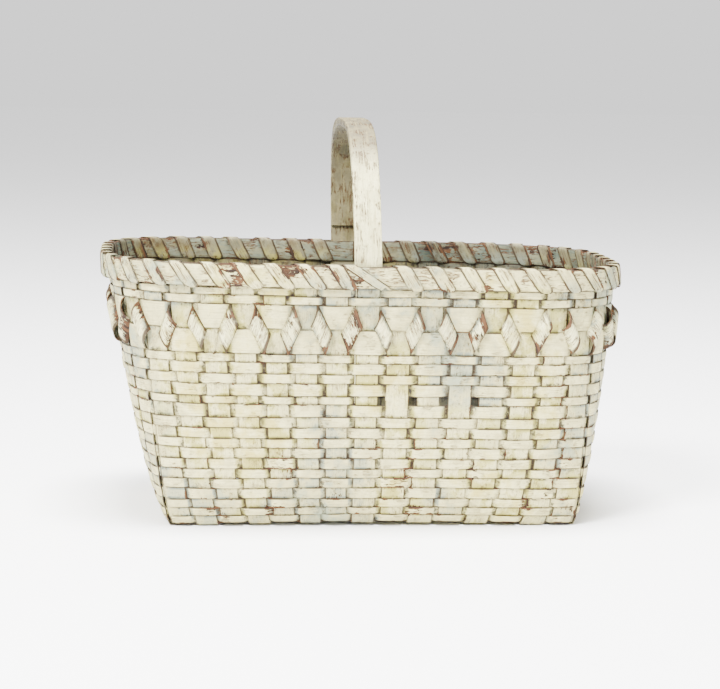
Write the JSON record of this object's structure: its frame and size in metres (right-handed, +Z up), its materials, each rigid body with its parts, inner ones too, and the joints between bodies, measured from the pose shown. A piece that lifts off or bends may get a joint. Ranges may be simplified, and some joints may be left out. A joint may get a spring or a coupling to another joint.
{
  "type": "woven market basket",
  "caption": "Tapered rectangular market basket woven from flat painted wood splints, with a lashed rim, a band of raised curls and a fixed bent handle over the middle.",
  "frame": {"origin": "on the floor under the middle of the basket", "axes": "+X along the length of the basket, +Y across it, +Z up"},
  "size_m": [0.5106, 0.3306, 0.379],
  "materials": {
    "painted_stakes": "cream paint on thin split hardwood, worn and cracked along the grain",
    "painted_weavers": "cream paint on thin split hardwood, chipped at the crossings",
    "painted_wide_weavers": "cream paint on thin split hardwood, fine vertical crackle",
    "painted_hoops": "cream paint worn to dark bare wood in places",
    "painted_lashing": "cream paint worn to dark bare wood at the edges",
    "painted_curls": "cream paint with dark bare wood at the folded edges",
    "painted_handle": "cream paint over bent hardwood, grain lines showing through"
  },
  "bodies": {
    "root": {"cross_stake_01": "painted_stakes", "cross_stake_02": "painted_stakes", "cross_stake_03": "painted_stakes", "cross_stake_04": "painted_stakes", "cross_stake_05": "painted_stakes", "cross_stake_06": "painted_stakes", "cross_stake_07": "painted_stakes", "cross_stake_08": "painted_stakes", "cross_stake_09": "painted_stakes", "cross_stake_10": "painted_stakes", "cross_stake_11": "painted_stakes", "cross_stake_12": "painted_stakes", "cross_stake_13": "painted_stakes", "cross_stake_14": "painted_stakes", "cross_stake_15": "painted_stakes", "long_stake_01": "painted_stakes", "long_stake_02": "painted_stakes", "long_stake_03": "painted_stakes", "long_stake_04": "painted_stakes", "long_stake_05": "painted_stakes", "long_stake_06": "painted_stakes", "long_stake_07": "painted_stakes", "long_stake_08": "painted_stakes", "long_stake_09": "painted_stakes", "weaver_01": "painted_weavers", "weaver_02": "painted_weavers", "weaver_03": "painted_weavers", "weaver_04": "painted_weavers", "weaver_05": "painted_weavers", "weaver_06": "painted_weavers", "weaver_07": "painted_weavers", "weaver_08": "painted_weavers", "weaver_09": "painted_weavers", "weaver_10": "painted_weavers", "weaver_11": "painted_weavers", "weaver_12": "painted_weavers", "weaver_13": "painted_weavers", "weaver_14": "painted_weavers", "weaver_15": "painted_weavers", "weaver_16": "painted_weavers", "weaver_17": "painted_weavers", "wide_weaver_lower": "painted_wide_weavers", "wide_weaver_upper": "painted_wide_weavers", "top_weaver_01": "painted_weavers", "top_weaver_02": "painted_weavers", "rim_weaver": "painted_weavers", "outer_hoop": "painted_hoops", "inner_hoop": "painted_hoops", "lashing": "painted_lashing", "curled_splint": "painted_curls", "handle": "painted_handle"}
  },
  "joints": []
}
